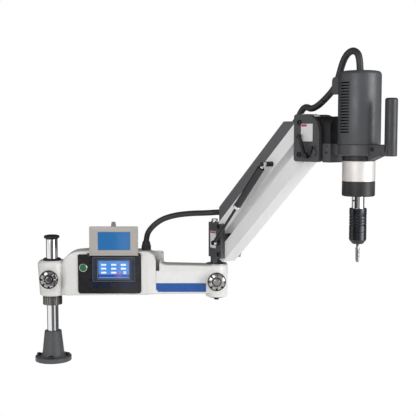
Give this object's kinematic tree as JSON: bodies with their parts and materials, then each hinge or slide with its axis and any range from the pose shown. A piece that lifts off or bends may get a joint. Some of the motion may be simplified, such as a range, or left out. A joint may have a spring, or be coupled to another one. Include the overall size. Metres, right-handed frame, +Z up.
{
  "type": "arm tapping machine",
  "caption": "Bench-mounted arm tapping machine: column, swing arm with touch control, sprung parallelogram arm and a swivelling motor head with a quick-change chuck.",
  "frame": {"origin": "column axis on the underside of the foot", "axes": "+Z up along the column, +X along the swing arm towards the elbow, -Y towards the operator side with the touch panel"},
  "size_m": [0.9757, 0.6359, 0.9254],
  "materials": {
    "cast_iron_grey": "dark grey painted casting",
    "black_screws": "black oxide steel",
    "chrome_bar": "polished hard chrome",
    "chrome_knob": "chromed die casting",
    "black_plastic": "moulded black plastic",
    "burnished_steel": "black burnished steel",
    "white_casting": "warm white enamel on a casting",
    "bronze_bush": "sintered bronze",
    "wiper_rubber": "black rubber",
    "panel_black": "black panel, satin",
    "screen_glass": "lit touch screen",
    "strip_blue": "dark blue film",
    "flap_metal": "grey beige sheet metal",
    "window_blue": "blue window film",
    "bright_ring": "bright metal ring",
    "button_green": "green push button",
    "cover_grey": "white enamel sheet",
    "cable_black": "black cable sheath",
    "graphite_paint": "graphite fine texture powder coat",
    "white_link": "white coated aluminium section",
    "spring_black": "black gas spring",
    "motor_black": "graphite moulded cover",
    "motor_steel": "black motor body",
    "satin_aluminium": "satin turned steel",
    "tool_steel": "ground tool steel"
  },
  "bodies": {
    "stand": {"base_flange": "cast_iron_grey", "base_bolts": "black_screws", "column": "chrome_bar", "column_cap": "black_plastic", "stop_collar": "burnished_steel"},
    "swing_arm": {"arm_casting": "white_casting", "arm_bushes": "bronze_bush", "column_wiper": "wiper_rubber", "control_panel": "panel_black", "touchscreen_frame": "panel_black", "touchscreen_display": "screen_glass", "function_strip": "strip_blue", "flap_catch": "black_plastic", "panel_screws": "black_screws", "flap_hinge": "black_plastic", "button_bezel": "bright_ring", "cable_gland": "black_plastic", "rear_cover": "cover_grey", "rear_cover_screws": "black_screws", "mains_gland": "black_plastic", "arm_cable": "cable_black"},
    "screen_flap": {"flap_frame": "flap_metal", "flap_window": "window_blue", "flap_latch": "flap_metal"},
    "start_button": {"start_button": "button_green"},
    "column_knob": {"column_knob": "chrome_knob"},
    "elbow_knob": {"elbow_knob": "chrome_knob"},
    "elbow": {"post_shaft": "graphite_paint", "retaining_bolt": "black_screws", "post_bracket": "graphite_paint", "bracket_nut": "chrome_bar", "elbow_pivot_pins": "black_screws", "spring_lower_stud": "black_screws"},
    "upper_link": {"upper_link": "white_link", "upper_link_bushes": "bronze_bush", "cable_duct": "graphite_paint", "spring_upper_stud": "black_screws"},
    "lower_link": {"lower_link": "white_link", "lower_link_bushes": "bronze_bush"},
    "spring_rod": {"spring_rod": "spring_black"},
    "spring_cylinder": {"spring_cylinder": "spring_black"},
    "head_carrier": {"carrier_front_plate": "graphite_paint", "carrier_rear_plate": "graphite_paint", "head_pivot_pins": "black_screws", "swivel_housing": "graphite_paint", "link_cable": "cable_black"},
    "clamp_lever": {"clamp_lever": "black_plastic"},
    "motor_head": {"head_bracket": "graphite_paint", "motor_flange": "graphite_paint", "handle_grip": "black_plastic", "motor_cover": "motor_black", "motor_can": "motor_steel", "gearbox_housing": "satin_aluminium", "nose_ring": "graphite_paint", "cable_stay": "graphite_paint", "motor_cable": "cable_black"},
    "spindle": {"spindle_shaft": "chrome_bar", "chuck_body": "burnished_steel", "tap": "tool_steel"},
    "chuck_sleeve": {"chuck_sleeve": "burnished_steel"}
  },
  "joints": [
    {"name": "arm_swing", "type": "hinge", "parent": "stand", "child": "swing_arm", "pos_m": [0, 0, 0.256], "axis": [0, 0, 1], "range_deg": [-170, 170]},
    {"name": "column_knob_turn", "type": "hinge", "parent": "swing_arm", "child": "column_knob", "pos_m": [0, -0.055, 0.2585], "axis": [0, -1, 0], "range_deg": [-180, 180]},
    {"name": "elbow_knob_turn", "type": "hinge", "parent": "swing_arm", "child": "elbow_knob", "pos_m": [0.5, -0.045, 0.25], "axis": [0, -1, 0], "range_deg": [-180, 180]},
    {"name": "start_press", "type": "slide", "parent": "swing_arm", "child": "start_button", "axis": [0, 1, 0], "range_m": [0, 0.003], "stiffness_N_per_m": 300},
    {"name": "flap_fold", "type": "hinge", "parent": "swing_arm", "child": "screen_flap", "pos_m": [0.1933, -0.0495, 0.332], "axis": [1, 0, 0], "range_deg": [0, 180]},
    {"name": "elbow_swing", "type": "hinge", "parent": "swing_arm", "child": "elbow", "pos_m": [0.5, 0, 0.25], "axis": [0, 0, 1], "range_deg": [-60, 150], "deforming": ["arm_cable"]},
    {"name": "arm_lift", "type": "hinge", "parent": "elbow", "child": "upper_link", "pos_m": [0.53644, -0.05016, 0.4184], "axis": [-0.809, -0.5878, 0], "range_deg": [-61, 12], "deforming": ["arm_cable"]},
    {"name": "lower_link_swing", "type": "hinge", "parent": "elbow", "child": "lower_link", "pos_m": [0.53644, -0.05016, 0.3356], "axis": [-0.809, -0.5878, 0], "range_deg": [-61, 12]},
    {"name": "head_level", "type": "hinge", "parent": "upper_link", "child": "head_carrier", "pos_m": [0.7405, -0.33102, 0.72019], "axis": [-0.809, -0.5878, 0], "range_deg": [-12, 61], "deforming": ["link_cable"]},
    {"name": "spring_rod_swing", "type": "hinge", "parent": "elbow", "child": "spring_rod", "pos_m": [0.49249, -0.07813, 0.371], "axis": [-0.809, -0.5878, 0], "range_deg": [-57.1, 11.3]},
    {"name": "spring_cylinder_swing", "type": "hinge", "parent": "upper_link", "child": "spring_cylinder", "pos_m": [0.62483, -0.26028, 0.60908], "axis": [-0.809, -0.5878, 0], "range_deg": [-0.8, 4]},
    {"name": "clamp_lever_turn", "type": "hinge", "parent": "head_carrier", "child": "clamp_lever", "pos_m": [0.72423, -0.38178, 0.63569], "axis": [-0.809, -0.5878, 0], "range_deg": [-60, 60]},
    {"name": "head_swivel", "type": "hinge", "parent": "head_carrier", "child": "motor_head", "pos_m": [0.78517, -0.39251, 0.70969], "axis": [0.5878, -0.809, 0], "range_deg": [-90, 90], "deforming": ["motor_cable"]},
    {"name": "spindle_spin", "type": "hinge", "parent": "motor_head", "child": "spindle", "pos_m": [0.84513, -0.47503, 0.52019], "axis": [0, 0, -1], "continuous": true},
    {"name": "sleeve_slide", "type": "slide", "parent": "spindle", "child": "chuck_sleeve", "axis": [0, 0, -1], "range_m": [0, 0.005], "stiffness_N_per_m": 1500}
  ],
  "couplings": [
    {"joint": "lower_link_swing", "follows": "arm_lift", "ratio": 1},
    {"joint": "head_level", "follows": "arm_lift", "ratio": -1},
    {"joint": "spring_rod_swing", "follows": "arm_lift", "ratio": 0.935},
    {"joint": "spring_cylinder_swing", "follows": "arm_lift", "ratio": -0.065}
  ]
}
